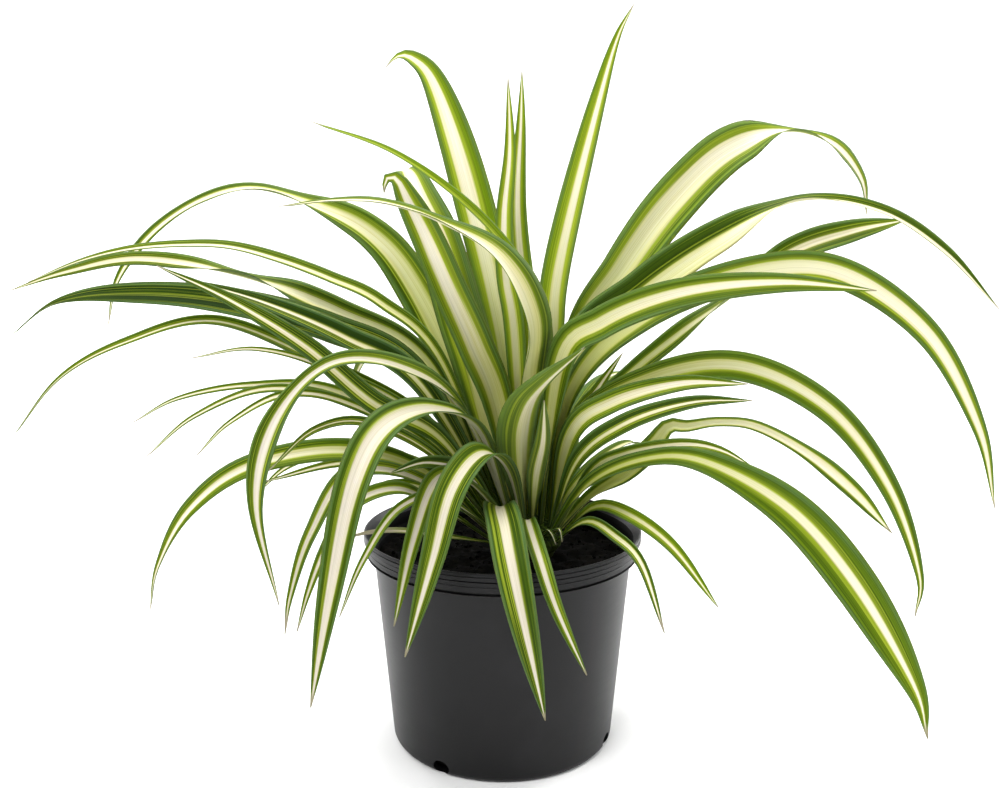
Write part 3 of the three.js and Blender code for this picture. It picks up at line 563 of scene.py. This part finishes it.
def bladeGroup():
    group, tree, given = newGroup("leafBlade", (
        ("Midrib", "Geometry", None), ("Sections", "Int", 60), ("Columns", "Int", 10),
        ("Thickness", "Float", 0.0005), ("Roundness", "Float", 0.2), ("Curl", "Float", 0.07),
        ("Wave height", "Float", 0.1), ("Wave length", "Float", 0.045), ("Seed", "Float", 0.0),
        ("Ends", "Float", 0.03), ("Stripe", "Float", 0.38), ("Tone and light", "Float", 0.5),
        ("Dryness", "Float", 0.03), ("Shift", "Float", 0.0), ("Tint", "Float", 1.0),
        ("Material", "Material", None)))
    midrib = tree.make("GeometryNodeMeshToCurve", None, {"Mesh": given.other("Midrib")})
    ringCount = given.other("Columns") * 2 + 1
    flat = tree.make("GeometryNodeMeshGrid", None, {"Size X": 1.0, "Size Y": 1.0, "Vertices X": ringCount,
                                                   "Vertices Y": given.other("Sections") + 1})
    x, y, _ = tree.parts(tree.make("GeometryNodeInputPosition"))
    ring, t = x + 0.5, y + 0.5  # once around the blade, and along it
    across = 1.0 - 2.0 * abs(2.0 * ring - 1.0)
    under = ring > 0.501

    def sample(name):
        value = tree.make("GeometryNodeInputNamedAttribute", {"data_type": "FLOAT_VECTOR"}, {"Name": name})
        return tree.make("GeometryNodeSampleCurve", {"mode": "FACTOR", "data_type": "FLOAT_VECTOR"},
                         {"Curves": midrib, "Value": value, "Factor": t}, "Value")

    side = sample("side")
    tangent = side.other("Tangent")
    up = tree.vector("CROSS_PRODUCT", tangent, side)
    half, fold, distance = tree.parts(sample("section"))
    off = abs(across)
    bend = given.other("Roundness")
    channel = (tree.math("SQRT", off * off + bend * bend) - bend) / (
        tree.math("SQRT", 1.0 + bend * bend) - bend)
    seed = given.other("Seed")
    sideOfRib = tree.math("SIGN", across)
    waves = distance / given.other("Wave length")
    ripple = tree.noise(tree.xyz(waves, sideOfRib * 3.0, seed * 11.0), 1.0, 1.0)
    wave = (ripple - 0.5) * given.other("Wave height") * 2.0 * off ** 1.5
    reach = half * across * tree.math("COSINE", fold)
    lift = half * (tree.math("SINE", fold) * channel - given.other("Curl") * off ** 4.0 + wave)
    ends = tree.rise(tree.math("MINIMUM", t, 1.0 - t), 0.0, given.other("Ends"))
    depth = given.other("Thickness") * (1.0 - off ** 4.0) * ends * under
    place = tree.vector("ADD", side.other("Position"), tree.scaled(side, reach))
    place = tree.vector("ADD", place, tree.scaled(up, lift - depth))

    look = tree.xyz(given.other("Stripe"), given.other("Tone and light"), given.other("Dryness"))
    blade = flat
    for name, kind, value in (
            ("across", "FLOAT", across), ("along", "FLOAT", t), ("under", "FLOAT", under),
            ("seed", "FLOAT", seed), ("shift", "FLOAT", given.other("Shift")),
            ("tintAndLight", "FLOAT", given.other("Tint")), ("look", "FLOAT_VECTOR", look)):
        blade = tree.make("GeometryNodeStoreNamedAttribute", {"data_type": kind, "domain": "POINT"},
                          {"Geometry": blade, "Name": name, "Value": value})
    blade = tree.make("GeometryNodeSetPosition", None, {"Geometry": blade, "Position": place})
    blade = tree.make("GeometryNodeMergeByDistance", None, {"Geometry": blade, "Distance": 0.01 * mm})
    blade = tree.make("GeometryNodeFlipFaces", None, {"Mesh": blade})  # outward
    finishGroup(tree, blade, given.other("Material"))
    return group


def show(name, mesh, replaced):
    piece = addObject(name, mesh)
    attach(piece, "root")
    if replaced:
        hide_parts(*replaced)


# Small pale shoots at the foot of the leaves, in the same terms as the leaves.
shootTable = {
    "shoot_1": {"root": (300, 30), "width": 3.4, "path": ((27, -18, 124), (31, -21, 126), (32.5, -22, 119))},
    "shoot_2": {"root": (286, 24), "width": 3, "path": ((24, -19, 125), (27, -22, 123), (29, -23, 118))},
}


def bladeMesh(name, leaf, look, seed, group, material):
    shape = leafShape
    rib, count = midribMesh("rib_" + name, leaf)
    stripe, toneAndLight, dryness, shift = look
    return grow("blade_" + name, rib, group, {
        "Sections": count, "Columns": shape["columns"], "Thickness": shape["thickness"],
        "Roundness": shape["roundness"], "Curl": shape["curl"], "Wave height": shape["waveHeight"],
        "Wave length": shape["waveLength"], "Ends": shape["ends"], "Seed": seed,
        "Stripe": stripe, "Tone and light": toneAndLight, "Dryness": dryness, "Shift": shift,
        "Tint": shape["frontTintAndLight"] if name.startswith("front") else 1.0, "Material": material})


def growLeaves():
    group = bladeGroup()
    material = leafMaterial()
    for order, (name, leaf) in enumerate(leafTable.items()):
        look = leafLooks.get(name, leafShape["usualLook"])
        mesh = bladeMesh(name, leaf, look, leafShape["seedStep"] * order, group, material)
        show("blade_" + name, mesh, ["leaf_" + name])
    for order, (name, leaf) in enumerate(shootTable.items()):
        seed = leafShape["shootSeedStep"] * order
        mesh = bladeMesh(name, leaf, leafLooks["shoot"], seed, group, material)
        show("blade_" + name, mesh, [])


growLeaves()
print("leaves grown")


# Turned shapes
def turnedMesh(name, profile, segments):  # a profile of (radius, height) in millimetres, from axis to axis
    points, rings = [], []
    for radius, height in profile:
        if radius < 1e-6:  # on the axis
            rings.append([len(points)] * segments)
            points.append((0, 0, height * mm))
            continue
        rings.append(list(range(len(points), len(points) + segments)))
        for k in range(segments):
            a = math.tau * k / segments
            points.append((radius * math.cos(a) * mm, radius * math.sin(a) * mm, height * mm))
    faces = []
    for low, high in zip(rings, rings[1:]):
        for k in range(segments):
            n = (k + 1) % segments
            corners = [low[k], low[n], high[n], high[k]]
            face = [c for i, c in enumerate(corners) if c not in corners[:i]]
            if len(face) > 2:
                faces.append(face)
    mesh = bpy.data.meshes.new(name)
    mesh.from_pydata(points, [], faces)
    return mesh


def arc(centre, radius, start, end, steps):
    turns = [math.radians(start + (end - start) * k / steps) for k in range(steps + 1)]
    return [(centre[0] + radius * math.cos(a), centre[1] + radius * math.sin(a)) for a in turns]


def smoothMesh(mesh, sharpAngle):
    for polygon in mesh.polygons:
        polygon.use_smooth = True
    mesh.set_sharp_from_angle(angle=math.radians(sharpAngle))


# Pot: thin moulded plastic with a stepped rim band and drain holes in its lower corner. A groove is
# given by its lower and upper height and its depth. Lengths are in millimetres, angles in degrees.
potShape = {
    "height": 121, "baseRadius": 62.7, "lean": 0.0893, "wall": 1.2, "floor": 1.6, "corner": 4,
    "underInset": 12, "wallRings": (20, 50, 80), "cornerSteps": 8, "lipSteps": 8,
    "lipRadius": 78, "lipHeight": 4.3, "bandRadius": 76.4, "bandHeight": 12.4, "throat": 73.7,
    "grooves": ((108.9, 110.2, 1.5), (113.2, 113.5, 0.3), (115.7, 116.7, 1.5), (118.8, 119.2, 0.5)),
    "edge": 0.6, "bevel": 0.15, "segments": 160, "sharpAngle": 40,
    "drainAngles": (238.5, 337, 57, 160), "drainRadius": 5, "drainDepth": 16, "drainSquash": 0.8,
    "drainLift": 0.2, "drainSides": 32,
    # inner is the plastic's colour in painted shade on the inside, with its own roughness and specular
    "color": display(11, 11, 12), "worn": display(26, 26, 28), "inner": display(3, 3, 3),
    "roughness": 0.33, "specular": 0.22, "innerRoughness": 0.6, "innerSpecular": 0.05,
    "cloudScale": 22.0, "grainScale": 1400.0, "streakScale": (60.0, 60.0, 900.0),
    "bumpStrength": 0.25, "bumpDistance": 0.08 * mm,
}


# The inside of the pot: the same plastic as painted shade, near black and with little reflection.
def shadedInnerMaterial():
    look = potShape
    material, shade = newMaterial("pot plastic in painted shade")
    finishMaterial(shade, {}, {"Base Color": look["inner"], "Roughness": look["innerRoughness"],
                               "Specular IOR Level": look["innerSpecular"]})
    return material


def outerMaterial():
    look = potShape
    material, shade = newMaterial("black pot plastic")
    place = shade.make("ShaderNodeTexCoord", None, None, "Object")
    cloud = shade.noise(place, look["cloudScale"], 3.0)
    grain = shade.noise(place, look["grainScale"])
    streak = shade.noise(shade.vector("MULTIPLY", place, look["streakScale"]), 1.0)
    worn = shade.rise(cloud, 0.5, 0.8) * 0.5 + shade.rise(streak, 0.66, 0.8) * 0.25
    color = shade.mix(worn, look["color"], look["worn"])
    roughness = look["roughness"] + 0.10 * cloud + 0.06 * streak
    bump = shade.make("ShaderNodeBump", None, {
        "Strength": look["bumpStrength"], "Distance": look["bumpDistance"],
        "Height": grain * 0.6 + streak * 0.4})
    finishMaterial(shade, {"Base Color": color, "Roughness": roughness, "Normal": bump},
                   {"Specular IOR Level": look["specular"]})
    return material


def potProfile():
    shape = potShape
    wall, edge, bevel = shape["wall"], shape["edge"], shape["bevel"]
    bandBottom = shape["height"] - shape["bandHeight"]
    lipBottom = shape["height"] - shape["lipHeight"]
    corner = shape["corner"]

    def outer(z):
        return shape["baseRadius"] + shape["lean"] * z

    def rim(z):
        return shape["lipRadius"] if z > lipBottom else shape["bandRadius"]

    profile = [(0, 0), (shape["baseRadius"] - corner - shape["underInset"], 0)]
    profile += arc((outer(corner) - corner, corner), corner, -90, 0, shape["cornerSteps"])
    profile += [(outer(z), z) for z in (*shape["wallRings"], bandBottom - wall)]
    profile += [(outer(bandBottom) + bevel, bandBottom), (rim(bandBottom) - bevel, bandBottom)]
    for low, high, depth in shape["grooves"]:
        below, above = rim(low), rim(high + bevel)
        profile += [(below, low - bevel), (below - bevel, low), (below - depth, low)]
        profile += [(below - depth, high), (above - bevel, high), (above, high + bevel)]
    profile += arc((shape["lipRadius"] - edge, shape["height"] - edge), edge, 0, 180, shape["lipSteps"])
    inside = [(shape["throat"], lipBottom), (shape["throat"], bandBottom + wall)]
    inside += [(outer(bandBottom) - wall, bandBottom), (outer(corner) - wall, corner + shape["floor"])]
    inside += [(shape["baseRadius"] - corner - edge, shape["floor"]), (0, shape["floor"])]
    return profile, inside


def drainCutter():
    shape = potShape
    points, faces = [], []
    sides = shape["drainSides"]
    for angle in shape["drainAngles"]:
        turn = Matrix.Rotation(math.radians(angle), 4, "Z")
        first = len(points)
        for x in (-shape["drainDepth"] / 2, shape["drainDepth"] / 2):
            for k in range(sides):
                a = math.tau * k / sides
                y = shape["drainRadius"] * math.cos(a)
                z = shape["drainRadius"] * shape["drainSquash"] * (1 + math.sin(a)) + shape["drainLift"]
                points.append(turn @ Vector((shape["baseRadius"] + x, y, z)) * mm)
        faces.append([first + k for k in reversed(range(sides))])
        faces.append([first + sides + k for k in range(sides)])
        for k in range(sides):
            n = (k + 1) % sides
            faces.append([first + k, first + n, first + sides + n, first + sides + k])
    mesh = bpy.data.meshes.new("drain_cutter")
    mesh.from_pydata(points, [], faces)
    return mesh


def buildPot():
    outside, inside = potProfile()
    turned = turnedMesh("pot_source", outside + inside, potShape["segments"])
    firstInside = 1 + potShape["segments"] * (len(outside) - 1)
    turned.materials.append(outerMaterial())
    turned.materials.append(shadedInnerMaterial())
    # the inside faces take the copy in painted shade
    for polygon in turned.polygons:
        polygon.material_index = int(min(polygon.vertices) >= firstInside)
    shell = addObject("pot_source", turned)
    cutter = addObject("drain_cutter", drainCutter())
    cut = shell.modifiers.new("drain", "BOOLEAN")
    cut.object = cutter
    cut.solver = "EXACT"
    view = bpy.context.evaluated_depsgraph_get()
    mesh = bpy.data.meshes.new_from_object(shell.evaluated_get(view))
    bpy.data.objects.remove(shell)
    bpy.data.objects.remove(cutter)
    smoothMesh(mesh, potShape["sharpAngle"])
    show("pot_shell", mesh, ["pot"])


buildPot()
print("pot turned")


# Soil: a rough dark mound with loose crumbs on it. Lengths are in millimetres unless mm is given.
soilShape = {
    "level": 105, "rise": 0.8, "inset": 1.5, "rings": 34, "segments": 150, "sharpAngle": 60,
    "lump": 1.0, "lumpWaves": (0.31, 0.27, 0.16), "rough": 0.9, "roughScale": 0.22,
    "crumbDensity": 60000.0, "crumbSmall": 0.35 * mm, "crumbLarge": 1.5 * mm, "crumbReach": 69 * mm,
    "crumbChipping": 1.3 * mm, "seed": 4,
    "dark": display(2, 2, 1), "light": display(15, 12, 9), "fibre": display(36, 28, 20),
    "patchScale": 160.0, "speckScale": 900.0, "bumpStrength": 0.8, "bumpDistance": 0.5 * mm,
    "roughness": 0.95, "specular": 0.04,
}


def soilMaterial():
    look = soilShape
    material, shade = newMaterial("potting soil")
    place = shade.make("ShaderNodeTexCoord", None, None, "Object")
    patch = shade.noise(place, look["patchScale"], 3.0)
    speck = shade.noise(place, look["speckScale"])
    color = shade.mix(shade.rise(patch, 0.45, 0.75) * 0.7, look["dark"], look["light"])
    color = shade.mix(shade.rise(speck, 0.66, 0.74) * 0.5, color, look["fibre"])
    bump = shade.make("ShaderNodeBump", None, {
        "Strength": look["bumpStrength"], "Distance": look["bumpDistance"],
        "Height": patch * 0.5 + speck * 0.5})
    finishMaterial(shade, {"Base Color": color, "Normal": bump},
                   {"Roughness": look["roughness"], "Specular IOR Level": look["specular"]})
    return material


def soilTop(x, y):  # the height of the soil's surface, in millimetres
    shape = soilShape
    along, across, slant = shape["lumpWaves"]
    scale = shape["roughScale"]
    lump = shape["lump"] * math.sin(along * x + 1.3) * math.sin(across * y + slant * x)
    grit = noise.fractal(Vector((x * scale, y * scale, 3.1)), 0.6, 2.1, 4)
    return shape["level"] + shape["rise"] * 0.5 + lump + shape["rough"] * grit


def soilMesh():
    shape = soilShape
    pot = potShape
    brim = pot["baseRadius"] + pot["lean"] * shape["level"] - shape["inset"]
    foot = pot["baseRadius"] - pot["corner"] - pot["wall"]
    low = pot["floor"] + 0.3
    cornerTop = pot["corner"] + low
    cornerRadius = pot["baseRadius"] + pot["lean"] * cornerTop - shape["inset"] - pot["edge"]
    profile = [(0, low), (foot, low), (cornerRadius, cornerTop), (brim, shape["level"] - 1)]
    profile += [(brim * (1 - k / shape["rings"]) ** 0.8, shape["level"]) for k in range(shape["rings"] + 1)]
    mesh = turnedMesh("soil", profile, shape["segments"])
    for vertex in mesh.vertices:
        if vertex.co.z > (shape["level"] - 0.5) * mm:
            vertex.co.z = soilTop(vertex.co.x / mm, vertex.co.y / mm) * mm
    return mesh


def crumbGroup():
    group, tree, given = newGroup("soilCrumbs", (
        ("Soil", "Geometry", None), ("Density", "Float", 50000.0), ("Reach", "Float", 0.07),
        ("Level", "Float", 0.1), ("Smallest", "Float", 0.0004), ("Largest", "Float", 0.0015),
        ("Chipping", "Float", 0.0013), ("Seed", "Int", 4), ("Material", "Material", None)))
    x, y, z = tree.parts(tree.make("GeometryNodeInputPosition"))
    inside = given.other("Reach") > tree.math("SQRT", x * x + y * y)
    onTop = (z > given.other("Level")) * inside
    scattered = tree.make("GeometryNodeDistributePointsOnFaces", None, {
        "Mesh": given.other("Soil"), "Selection": onTop, "Density": given.other("Density"),
        "Seed": given.other("Seed")})
    grain = tree.make("GeometryNodeMeshIcoSphere", None, {"Radius": 1.0, "Subdivisions": 2})

    def draw(low, high, seed):
        return tree.make("FunctionNodeRandomValue", {"data_type": "FLOAT_VECTOR"},
                         {"Min": low, "Max": high, "Seed": seed})

    turn = draw((0.0, 0.0, 0.0), (math.tau, math.tau, math.tau), 7)
    flatness = draw((0.7, 0.6, 0.35), (1.4, 1.0, 0.8), 8)
    chance, _, _ = tree.parts(draw((0.0, 0.0, 0.0), (1.0, 1.0, 1.0), 9))
    size = given.other("Smallest") + (given.other("Largest") - given.other("Smallest")) * chance ** 4.0
    placed = tree.make("GeometryNodeInstanceOnPoints", None, {
        "Points": scattered, "Instance": grain, "Rotation": turn, "Scale": tree.scaled(flatness, size)})
    real = tree.make("GeometryNodeRealizeInstances", None, {"Geometry": placed})
    where = tree.make("GeometryNodeInputPosition")
    chip = tree.make("ShaderNodeTexNoise", None, {"Vector": where, "Scale": 700.0, "Detail": 1.0}, "Color")
    nudge = tree.scaled(tree.vector("SUBTRACT", chip, (0.5, 0.5, 0.5)), given.other("Chipping"))
    rough = tree.make("GeometryNodeSetPosition", None, {"Geometry": real, "Offset": nudge})
    finishGroup(tree, rough, given.other("Material"))
    return group


def buildSoil():
    shape = soilShape
    material = soilMaterial()
    mound = soilMesh()
    mound.materials.append(material)
    smoothMesh(mound, shape["sharpAngle"])
    crumbs = grow("soil_crumbs", mound.copy(), crumbGroup(), {
        "Density": shape["crumbDensity"], "Reach": shape["crumbReach"], "Level": (shape["level"] - 3) * mm,
        "Smallest": shape["crumbSmall"], "Largest": shape["crumbLarge"], "Chipping": shape["crumbChipping"],
        "Seed": shape["seed"], "Material": material})
    show("soil_mound", mound, ["soil"])
    show("soil_crumbs", crumbs, [])


buildSoil()
print("soil filled")


# Crown: a dome of clasped leaf bases on a neck that stands in the soil. The sheaths stand in layers,
# each turned and a little narrower at its top than the one below it.
crownShape = {
    "centre": (14, 2, 114), "radius": 21, "dome": 13, "neckRadius": 16, "neckDepth": 24,
    "domeStart": -10, "domeTurn": 100, "rings": 40, "segments": 132, "sharpAngle": 50,
    "sheaths": 11, "sheathDepth": 0.09, "sheathFoot": -0.2,
    "layers": 3.2, "layerTurn": 1.9, "layerStep": 0.05,
    # painted shade: the crown's greens are dark, as among the crowded leaf bases
    "pale": display(58, 74, 20), "olive": display(14, 26, 2), "brown": display(22, 17, 9),
    "brownFade": (106 * mm, 122 * mm),
    "fibreScale": (500.0, 500.0, 60.0), "bumpStrength": 0.5, "bumpDistance": 0.3 * mm,
    "roughness": 0.7, "specular": 0.05,
}


def crownMaterial():
    look = crownShape
    material, shade = newMaterial("clasped leaf bases")
    place = shade.make("ShaderNodeTexCoord", None, None, "Object")
    _, _, z = shade.parts(place)
    low = 1.0 - shade.rise(z, *look["brownFade"])
    fibre = shade.noise(shade.vector("MULTIPLY", place, look["fibreScale"]), 1.0)
    color = shade.mix(shade.rise(fibre, 0.35, 0.7), look["olive"], look["pale"])
    color = shade.mix(low * 0.6, color, look["brown"])
    bump = shade.make("ShaderNodeBump", None, {
        "Strength": look["bumpStrength"], "Distance": look["bumpDistance"], "Height": fibre})
    finishMaterial(shade, {"Base Color": color, "Normal": bump},
                   {"Roughness": look["roughness"], "Specular IOR Level": look["specular"]})
    return material


def crownMesh():
    shape = crownShape
    foot = soilShape["level"] - shape["neckDepth"] - shape["centre"][2]
    collar = soilShape["level"] + 2 - shape["centre"][2]
    profile = [(0, foot), (shape["neckRadius"], foot), (shape["neckRadius"], collar)]
    for k in range(shape["rings"] + 1):
        a = math.radians(shape["domeStart"] + shape["domeTurn"] * k / shape["rings"])
        profile.append((shape["radius"] * max(math.cos(a), 0), shape["dome"] * math.sin(a)))
    mesh = turnedMesh("crown", profile, shape["segments"])
    for vertex in mesh.vertices:
        place = vertex.co / mm
        around = math.atan2(place.y, place.x)
        height = place.z / shape["dome"]
        if height > shape["sheathFoot"]:
            layer = math.floor(height * shape["layers"])
            step = shape["layerStep"] * (height * shape["layers"] - layer)
            groove = abs(math.sin(around * shape["sheaths"] / 2 + layer * shape["layerTurn"] + height))
            shrink = 1 - shape["sheathDepth"] * (1 - groove) ** 2 - step
            place = Vector((place.x * shrink, place.y * shrink, place.z * (0.5 + 0.5 * shrink)))
        vertex.co = (place + Vector(shape["centre"])) * mm
    return mesh


def buildCrown():
    mesh = crownMesh()
    mesh.materials.append(crownMaterial())
    smoothMesh(mesh, crownShape["sharpAngle"])
    show("crown_sheaths", mesh, ["crown"])


buildCrown()
print("crown set")


# Studio: a pale sweep for floor and background, soft lights and the camera. Lengths are in metres,
# and the camera's place is in millimetres.
studio = {
    "sweepColor": (0.86, 0.86, 0.86, 1.0), "sweepRoughness": 0.9, "sweepSteps": 24,
    "sweepFront": -9.0, "sweepBack": 1.6, "sweepRadius": 0.7, "sweepTop": 3.2, "sweepHalf": 9.0,
    "worldColor": (1.0, 1.0, 1.0, 1.0), "worldStrength": 0.30,
    "lights": {
        "key": {"place": (-0.9, -1.3, 1.8), "size": (1.1, 1.1), "power": 44},
        "fill": {"place": (1.4, -1.0, 1.0), "size": (1.0, 1.4), "power": 10},
        "top": {"place": (0.1, 0.2, 1.9), "size": (1.0, 1.0), "power": 26},
        "back": {"place": (0.0, 0.5, 2.7), "size": (2.4, 0.5), "power": 30, "target": (0.0, 1.6, 0.5)},
        "rim": {"place": (1.3, 0.8, 0.5), "size": (0.5, 1.2), "power": 19},
        "rimLeft": {"place": (-1.0, 1.2, 0.5), "size": (0.4, 1.2), "power": 11},
    },
    "target": (0.0, 0.0, 0.18),
    "cameraPlace": (-1.4, -545, 292.3), "cameraPitch": 9.9, "lens": 36.0, "sensor": 36.0,
}


def buildSweep():
    corner = (studio["sweepBack"] - studio["sweepRadius"], studio["sweepRadius"])
    outline = [(studio["sweepFront"], 0.0)]
    outline += arc(corner, studio["sweepRadius"], -90, 0, studio["sweepSteps"])
    outline.append((studio["sweepBack"], studio["sweepTop"]))
    points = [(x, y, z) for y, z in outline for x in (-studio["sweepHalf"], studio["sweepHalf"])]
    faces = [(2 * k, 2 * k + 1, 2 * k + 3, 2 * k + 2) for k in range(len(outline) - 1)]
    mesh = bpy.data.meshes.new("sweep")
    mesh.from_pydata(points, [], faces)
    for polygon in mesh.polygons:
        polygon.use_smooth = True
    material, shade = newMaterial("pale sweep")
    finishMaterial(shade, {}, {"Base Color": studio["sweepColor"], "Roughness": studio["sweepRoughness"]})
    mesh.materials.append(material)
    addObject("sweep", mesh)


def buildLights():
    world = bpy.data.worlds.new("studio")
    world.use_nodes = True
    back = world.node_tree.nodes["Background"]
    back.inputs["Color"].default_value = studio["worldColor"]
    back.inputs["Strength"].default_value = studio["worldStrength"]
    bpy.context.scene.world = world
    for name, light in studio["lights"].items():
        data = bpy.data.lights.new(name, "AREA")
        data.shape = "RECTANGLE"
        data.size, data.size_y = light["size"]
        data.energy = light["power"]
        lamp = addObject(name, data)
        lamp.location = light["place"]
        aim = Vector(light.get("target", studio["target"])) - Vector(light["place"])
        lamp.rotation_euler = aim.to_track_quat("-Z", "Y").to_euler()


def buildCamera():
    data = bpy.data.cameras.new("camera")
    data.sensor_width = studio["sensor"]
    data.lens = studio["lens"]
    camera = addObject("camera", data)
    camera.location = Vector(studio["cameraPlace"]) * mm
    camera.rotation_euler = (math.radians(90 - studio["cameraPitch"]), 0, 0)
    bpy.context.scene.camera = camera
    bpy.context.scene.view_settings.view_transform = "Standard"


buildSweep()
buildLights()
buildCamera()
print("studio lit")
